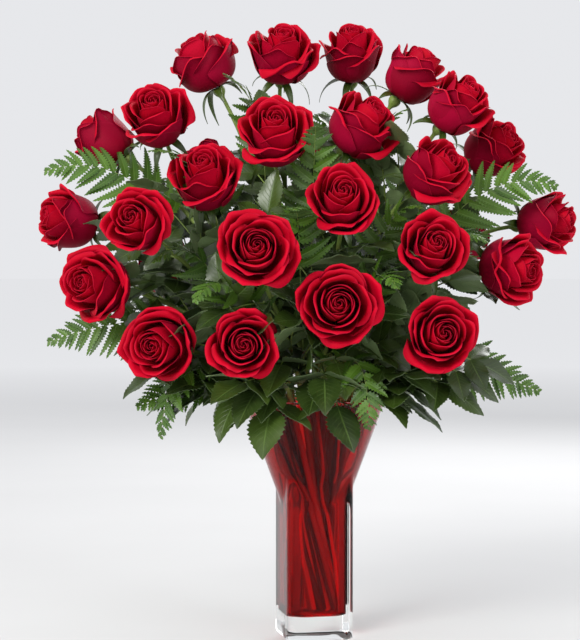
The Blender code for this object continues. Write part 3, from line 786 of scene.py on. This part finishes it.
def add_leaflet(builder, rng, base, direction, facing, length, width):
    """A serrated, pointed leaflet with its tip drooping."""
    rows, columns = 25, 9
    droop = rng.uniform(0.10, 0.45)
    sway = rng.uniform(-0.15, 0.15)
    side = direction.cross(facing).normalized()
    face = side.cross(direction).normalized()
    points = []
    for k in range(rows):
        t = k / (rows - 1)
        points.append(
            base + direction * (length * t * (1 - 0.12 * droop * t))
            - face * (length * droop * t * t * 0.5) + side * (length * sway * t * t * 0.5)
        )
    t = np.linspace(0, 1, rows)
    shape = np.sin(math.pi * t ** 0.78) ** 0.85 * (1 - 0.15 * t)
    tooth = 1 + 0.075 * ((np.arange(rows) % 2) * 2 - 1) * smooth(0.06, 0.2, t)
    half = np.maximum(shape * width / 2, 0.0004)
    u = np.linspace(-1, 1, columns)
    # only the outermost column is toothed
    widths = [half[k] * (1 + (tooth[k] - 1) * (np.abs(u) > 0.95)) for k in range(rows)]
    grid = blade_grid(points, face, widths, rng.uniform(0.10, 0.35), rng.uniform(-14, -2), u)
    ripple = 0.0007 * np.sin(t[None] * rng.uniform(9, 15) + rng.uniform(0, 6)) * u[:, None] ** 2
    grid += np.array(face)[None, None] * ripple[..., None]
    across, along = np.meshgrid(u, t, indexing="ij")
    builder.sheet(grid, LEAFLET_THICK, across=across, along=along, tone=rng.uniform())


def add_rose_leaf(builder, stems, rng, base, direction, facing, size, bend, leaflets=5, stalk=0.95):
    """A compound leaf: a thin rachis with a terminal leaflet and pairs below it."""
    side = direction.cross(facing).normalized()
    face = side.cross(direction).normalized()
    length = size * stalk
    count = 9
    points = []
    for k in range(count):
        along, t = length * k / (count - 1), k / (count - 1)
        points.append(base + direction * along - face * (length * bend * t ** 2 * 0.5))
    stems.tube(points, np.linspace(0.0011, 0.0006, count), 6, tone=rng.uniform())
    ahead = (points[-1] - points[-2]).normalized()
    add_leaflet(builder, rng, points[-1], ahead, face, size * 0.72, size * 0.46)
    pairs = (leaflets - 1) // 2
    for pair in range(pairs):
        at = points[-1 - 3 * pair - (1 if pair == 0 else 2)]
        scale = 0.62 - 0.12 * pair
        for sign in (-1, 1):
            aim = ahead * rng.uniform(0.35, 0.6) + side * sign + face * rng.uniform(-0.1, 0.25)
            add_leaflet(builder, rng, at, aim.normalized(), face, size * scale, size * scale * 0.64)


def add_collar_leaves(builder, stems, rng, arc):
    """Large leaves low on a stem that arch out over the rim and hang outside it."""
    for k in (2, 4):
        base = arc[k]
        bearing = math.degrees(math.atan2(base.x, -base.y)) + rng.uniform(-24, 24)
        aim = heading(bearing, rng.uniform(0, 22))
        facing = (heading(bearing, 0) * 0.35 + Vector((0, 0, 1))).normalized()
        size, bend = rng.uniform(0.070, 0.086), rng.uniform(0.6, 1.2)
        add_rose_leaf(builder, stems, rng, base, aim, facing, size, bend, leaflets=3, stalk=0.55)


def add_sepals(builder, rng, hip, axis, opened):
    """Five narrow sepals, spread under the petals and turned back."""
    spin = rng.uniform(0, ANY_TURN)
    for k in range(5):
        out = square_to(axis, spin + k * 2 * math.pi / 5 + rng.uniform(-0.15, 0.15))
        length = rng.uniform(0.029, 0.040)
        back = rng.uniform(0.3, 1.0) * (0.5 + opened)
        points = bezier(
            hip + out * 0.0045 - axis * 0.001,
            hip + out * (length * 0.45) + axis * (0.004 - 0.004 * back),
            hip + out * (length * 0.8) - axis * (length * 0.25 * back),
            hip + out * length * 0.85 - axis * (length * 0.75 * back), 11,
        )
        u, t = np.linspace(-1, 1, 5), np.linspace(0, 1, 11)
        half = 0.0040 * (1 - t ** 1.4) ** 0.9 * (0.75 + 0.5 * np.sin(math.pi * t)) + 0.0003
        grid = blade_grid(points, axis, half, 0.25, 0.0, u)
        across, along = np.meshgrid(u, t, indexing="ij")
        builder.sheet(grid, SEPAL_THICK, across=across, along=along, tone=0.9)


# Share of the hip's length below its top, and the hip's radius there.
HIP_PROFILE = ((0.82, 0.0030), (0.62, 0.0052), (0.40, 0.0064), (0.18, 0.0062), (0.04, 0.0050))


def add_stem(builder, rng, inside, arc, axis, hip):
    """A stem with the hip under its petals, and four thorns."""
    points = list(inside) + list(arc)
    neck = len(points)
    points += [hip - axis * (HIP_LENGTH * share) for share, _ in HIP_PROFILE]
    taper = [STEM_RADIUS * (1.0 - 0.22 * k / neck) for k in range(neck)]
    for k, point in enumerate(inside):
        taper[k] = STEM_CUT_RADIUS + (taper[k] - STEM_CUT_RADIUS) * smooth(0.16, 0.25, point.z)
    radii = taper + [radius for _, radius in HIP_PROFILE]
    builder.tube(points, radii, 12, tone=rng.uniform())
    # thorns, pointing a little back
    for _ in range(4):
        k = rng.integers(len(inside) + 1, neck - 4)
        direction = (points[k + 1] - points[k]).normalized()
        out = square_to(direction, rng.uniform(0, ANY_TURN))
        root = points[k] + out * STEM_RADIUS * 0.7
        tip = points[k] + out * (STEM_RADIUS + 0.0042) - direction * 0.0022
        builder.tube([root, root.lerp(tip, 0.45), tip], [0.0014, 0.0007, 0.00012], 6, tone=0.2)


# ---- fern

LOBE_STEP = 0.0030                # length of pinna to each lobe
PINNA_THICK = 0.0003
PINNA_COLUMNS = (-1.0, -0.72, -0.40, 0.0, 0.40, 0.72, 1.0)   # shares of its half width
CUT_DEPTHS = (1.0, 0.55, 0.12, 0.0, 0.12, 0.55, 1.0)         # how much a cut moves each column
STIPE_BASE = 0.0021               # radius of a frond's stalk at its cut end


def add_pinna(builder, rng, base, aim, face, onward, reach, width):
    """A side leaflet of a frond: a pointed blade cut into lobes that slant to its tip."""
    lobes = max(3, round(reach / LOBE_STEP))
    rows = 3 * lobes + 1
    t = np.linspace(0, 1, rows)
    droop, sweep = rng.uniform(0.06, 0.24), rng.uniform(0.05, 0.16)
    points = [
        base + aim * (reach * q) - face * (reach * droop * q * q) + onward * (reach * sweep * q * q)
        for q in t
    ]
    half = width / 2 * (1 - t ** 1.7) ** 0.85 * (0.72 + 0.28 * smooth(0.0, 0.15, t)) + 0.0003
    cut = np.array([1.0, 0.98, 0.50])[np.arange(rows) % 3]
    u, depth = np.array(PINNA_COLUMNS), np.array(CUT_DEPTHS)
    widths = [half[k] * (1 - depth * (1 - cut[k])) for k in range(rows)]
    grid = blade_grid(points, face, widths, rng.uniform(0.05, 0.22), 0.0, u)
    slant = 0.45 * half[None, :, None] * (np.abs(u) ** 1.4)[:, None, None]
    grid += np.array(aim)[None, None] * slant
    across, along = np.meshgrid(u, t * lobes, indexing="ij")
    builder.sheet(grid, PINNA_THICK, across=across, along=along, tone=rng.uniform(0.1, 1.0))


def add_frond(builder, stalks, rng, points, facing, blade, half_width):
    """A leatherleaf frond along points: a triangle of pinnae, widest low down."""
    stations = path_frames(points)
    run = [0.0]
    for a, b in zip(points, points[1:]):
        run.append(run[-1] + (b - a).length)
    total = run[-1]
    radii = [STIPE_BASE * (1 - 0.85 * min(1.0, 1.25 * s / total)) for s in run]
    stalks.tube(points, radii, 8, tone=rng.uniform())
    from_tip, count = 0.0025, 0
    while from_tip < blade:
        at = total - from_tip
        j = min(len(run) - 2, max(0, int(np.searchsorted(run, at)) - 1))
        base = points[j].lerp(points[j + 1], (at - run[j]) / (run[j + 1] - run[j]))
        direction = stations[j][0]
        side = direction.cross(facing).normalized()
        face = side.cross(direction).normalized()
        share = from_tip / blade
        size = half_width * (0.07 + 0.93 * math.sin(min(1.0, share * 1.12) * math.pi / 2))
        step = 0.0034 + 0.0088 * min(1.0, share * 1.7)
        sign = 1 if count % 2 else -1
        for way in (sign, -sign):
            forward = 0.80 - 0.42 * share + rng.uniform(-0.06, 0.06)
            aim = (side * way + direction * forward + face * rng.uniform(-0.22, 0.08)).normalized()
            start = base - direction * (0.0 if way == sign else 0.25 * step)
            reach = size * rng.uniform(0.90, 1.05)
            width = min(step * 0.98, 0.34 * reach + 0.0022)
            add_pinna(builder, rng, start, aim, face, direction, reach, width)
        from_tip += step
        count += 1


# ---- vase

CORNER_SOFT, SHOULDER_SOFT = 0.0007, 0.0005   # how rounded the edges of the glass are


def vessel_radius(angle, z, half, facet_half, inset):
    """Distance of the wall from the axis: the larger of prism and cone, edges softened."""
    corner = (half + facet_half) / math.sqrt(2)
    values = []
    for k in range(8):
        normal = k * math.pi / 4 + VASE_TURN
        c = math.cos(angle - normal)
        if c > 0.15:
            values.append((half if k % 2 == 0 else corner) / c)
    values = np.array(values)
    nearest, soft = values.min(), CORNER_SOFT
    prism = -soft * math.log(np.exp(-(values - nearest) / soft).sum()) + nearest
    cone = cone_radius(z, inset)
    high, soft = max(prism, cone), SHOULDER_SOFT
    return high + soft * math.log(math.exp((prism - high) / soft) + math.exp((cone - high) / soft))


def vessel_surface(half, facet_half, inset, heights, sides=144):
    """Rings of a wall's surface at each height."""
    rings = []
    angles = np.arange(sides) * 2 * math.pi / sides
    for z in heights:
        radius = np.array([vessel_radius(a, z, half, facet_half, inset) for a in angles])
        x, y = radius * np.cos(angles), radius * np.sin(angles)
        rings.append(np.stack([x, y, np.full(sides, z)], 1))
    return rings


def shrunk(ring, amount, z, scale=None):
    """The ring at height z, drawn in by amount, or scaled where a scale is given."""
    flat = ring.copy()
    size = np.linalg.norm(flat[:, :2], axis=1, keepdims=True)
    factor = scale if scale is not None else (size - amount) / size
    flat[:, :2] *= factor
    flat[:, 2] = z
    return flat


FILM_DEPTH, FILM_THICK = 0.0012, 0.0004   # the ruby layer, from the well's face into the glass
PRISM_TOP, SHOULDER_LOW = 0.118, 0.122    # highest ring of the prism, lowest of the shoulder
FLARE_TOP, FILM_TOP = 0.2360, 0.2355


def make_vase(glass, ruby):
    """Clear outer glass with a ruby layer just inside its inner face."""
    flare_heights = list(np.linspace(SHOULDER_LOW, FLARE_TOP, 50))
    outer_heights = list(np.linspace(0.0012, PRISM_TOP, 14)) + flare_heights
    outer = vessel_surface(FOOT_HALF, FOOT_HALF - FOOT_CHAMFER, 0.0, outer_heights)
    inner_heights = list(np.linspace(FOOT_THICK + 0.002, PRISM_TOP, 12)) + flare_heights
    inner = vessel_surface(WELL_HALF, WELL_FACET_HALF, FLARE_WALL, inner_heights)
    rings = []
    # foot: a shallow ground dome under the thick base, then the rounded foot edge
    first = outer[0]
    for scale in (1e-4, 0.2, 0.4, 0.6, 0.75):
        rings.append(shrunk(first, 0, 0.0009 * (1 - (scale / 0.75) ** 2), scale))
    rings.append(shrunk(first, 0, 0.0, 0.80))
    rings.append(shrunk(first, 0.0012, 0.0))
    rings.append(shrunk(first, 0.0004, 0.0004))
    rings += outer
    top_out, top_in = outer[-1], inner[-1]
    rim = VASE_HEIGHT
    rings.append(shrunk(top_out, 0.0003, rim - 0.0008))
    rings.append(shrunk(top_out, 0.0012, rim))
    rings.append(shrunk(top_in, -0.0012, rim))
    rings.append(shrunk(top_in, -0.0003, rim - 0.0008))
    rings += inner[::-1]
    last = inner[0]
    rings.append(shrunk(last, 0.0005, FOOT_THICK + 0.0007))
    rings.append(shrunk(last, 0.0020, FOOT_THICK))
    for scale in (0.6, 0.3, 1e-4):
        rings.append(shrunk(last, 0, FOOT_THICK, scale))
    body = Builder()
    body.skin(rings)
    piece(body.make("vase_glass", glass, 30), "clear_glass", "vase")

    heights = list(np.linspace(FOOT_THICK - 0.0005, PRISM_TOP, 12))
    heights += list(np.linspace(SHOULDER_LOW, FILM_TOP, 50))
    lined, within = (
        vessel_surface(WELL_HALF + depth, WELL_FACET_HALF + depth, FLARE_WALL - depth, heights)
        for depth in (FILM_DEPTH, FILM_DEPTH - FILM_THICK)
    )
    floor_z = FOOT_THICK - 0.0015
    shell = [shrunk(lined[0], 0, floor_z, s) for s in (1e-4, 0.5, 0.94)] + lined + within[::-1]
    shell += [shrunk(within[0], 0, floor_z + FILM_THICK, s) for s in (0.94, 0.5, 1e-4)]
    film = Builder()
    film.skin(shell)
    piece(film.make("vase_ruby_layer", ruby, 30), "ruby_glass")


# ---- the arrangement

LEAF_PLACES = (0.14, 0.24, 0.34, 0.44, 0.54, 0.66, 0.78)   # shares of a stem's free run
FROND_FACE = Vector((0, -0.85, 0.53))
FROND_BLADE, FROND_HALF = 0.150, 0.048
SPRIG_BLADE, SPRIG_HALF = 0.105, 0.036


def make_flowers():
    """The roses with their stems and leaves, then the five large fronds."""
    petals, green, leaf, fern = petal_material(), stem_material(), leaf_material(), fern_material()
    roses = FRONT_ROSES + REAR_ROSES
    centres = [DOME_CENTRE + heading(r.bearing, r.rise) * r.reach for r in roses]
    tips = [DOME_CENTRE + heading(f.bearing, f.rise) * f.reach for f in FRONDS]
    ends = centres + tips
    bearings = np.array([math.degrees(math.atan2(p.x, -p.y)) for p in ends])
    leans = np.array([lean_of(p) for p in ends])
    radii = np.array([STEM_RADIUS] * len(roses) + [STIPE_RADIUS * 1.1] * len(FRONDS))
    insides = settle(bearings, leans, radii)

    for n, (rose, centre, inside) in enumerate(zip(roses, centres, insides)):
        front = rose in FRONT_ROSES
        name = rose.name if front else "rear_" + rose.name
        rng = np.random.default_rng(100 + n)
        low, arc, axis, hip = rose_route(inside, rose, centre)
        bloom = Builder()
        add_bloom(bloom, rng, rose, centre)
        obj = bloom.make("bloom_" + name, petals)
        piece(obj, "petal", "rose_bloom_" + rose.name if front else "rear_rose_" + rose.name)
        stem, leaves = Builder(), Builder()
        add_stem(stem, rng, low, arc, axis, hip)
        add_sepals(leaves, rng, hip, axis, rose.opened)
        add_collar_leaves(leaves, stem, rng, arc)
        for f in LEAF_PLACES:
            k = int(f * (len(arc) - 1))
            direction = (arc[k + 1] - arc[k]).normalized()
            out = square_to(direction, rng.uniform(0, ANY_TURN))
            outward = Vector((arc[k].x, arc[k].y, 0)) * 4
            aim = (out * 0.8 + outward + direction * 0.7).normalized()
            facing = (arc[k] - Vector((0, 0, 0.24))).normalized() + Vector((0, -0.3, 0.3))
            size = rng.uniform(0.058, 0.074) * (1.1 - 0.3 * f)
            add_rose_leaf(leaves, stem, rng, arc[k], aim, facing, size, rng.uniform(0.05, 0.5))
        obj = stem.make("stem_" + name, green)
        piece(obj, "stem", *(["rose_stem_" + rose.name] if front else []))
        piece(leaves.make("leaves_" + name, leaf, 50), "leaf")

    for n, (frond, tip, inside) in enumerate(zip(FRONDS, tips, insides[len(roses):])):
        rng = np.random.default_rng(500 + n)
        blades, stalk = Builder(), Builder()
        points = list(inside[:-1:KEEP_EVERY]) + frond_arc(inside, tip)
        add_frond(blades, stalk, rng, points, FROND_FACE, FROND_BLADE, FROND_HALF)
        piece(blades.make("fern_" + frond.name, fern, 50), "fern", "fern_frond_" + frond.name)
        piece(stalk.make("fern_stalk_" + frond.name, green), "stem")


SPRIG_TURNS = (118, 62)           # degrees between a sprig's tip and its foot, by turns
SPRIG_FOOT = 0.031                # from the axis before the wall stops it
SPRIG_FOOT_Z = 0.030


def rest_inside(points):
    """The points of a stalk, moved in where the vase's wall would stop them."""
    rested = []
    for point in points:
        level = np.array([[point.x, point.y]])
        clamp_to_cavity(level, point.z, STIPE_BASE + GAP * 2)
        rested.append(Vector((level[0, 0], level[0, 1], point.z)))
    return rested


def make_sprigs():
    """Short fern fronds among the heads, all round the dome, and one over the rim."""
    fern, green = fern_material(), stem_material()
    for n, (bearing, rise, reach) in enumerate(SPRIGS):
        rng = np.random.default_rng(700 + n)
        tip = DOME_CENTRE + heading(bearing, rise) * reach
        out = heading(bearing, 0)
        foot = heading(bearing + SPRIG_TURNS[n % 2], 0) * SPRIG_FOOT + Vector((0, 0, SPRIG_FOOT_Z))
        mouth = out * rng.uniform(0.048, 0.060) + Vector((0, 0, VASE_HEIGHT + 0.006))
        climb = (mouth - foot).normalized()
        inside = rest_inside([foot.lerp(mouth, k / 14) for k in range(14)])
        over = tip - heading(bearing, rise - 45) * (0.40 * reach)
        points = inside + bezier(mouth, mouth + climb * (0.35 * reach), over, tip, 34)
        facing = heading(bearing, rise) * 0.7 + Vector((0, -0.25, 0.75))
        blades, stalk = Builder(), Builder()
        add_frond(blades, stalk, rng, points, facing, min(SPRIG_BLADE, 0.62 * reach), SPRIG_HALF)
        piece(blades.make("fern_sprig_%02d" % (n + 1), fern, 50), "fern")
        piece(stalk.make("fern_sprig_stalk_%02d" % (n + 1), green), "stem")


FLOOR_RADII = (0.002, 0.3, 0.6, 1.0, 1.6, 2.5, 4.0, 8.0, 20.0, 60.0)
FLOOR_SIDES = 96
FLOOR_THICK = 0.002


def make_floor():
    """A flat disc so large that its edge lies on the horizon from every side."""
    floor = Builder()
    radii = np.array(FLOOR_RADII)[None, :]
    angle = np.linspace(0, 2 * math.pi, FLOOR_SIDES + 1)[:, None]
    grid = np.zeros((FLOOR_SIDES + 1, len(FLOOR_RADII), 3))
    grid[..., 0], grid[..., 1] = radii * np.cos(angle), radii * np.sin(angle)
    grid[..., 2] = -FLOOR_THICK / 2
    floor.sheet(grid, FLOOR_THICK)
    floor.make("floor", floor_material())


set_camera()
set_lights()
make_floor()
make_vase(glass_material(), ruby_material())
make_flowers()
make_sprigs()
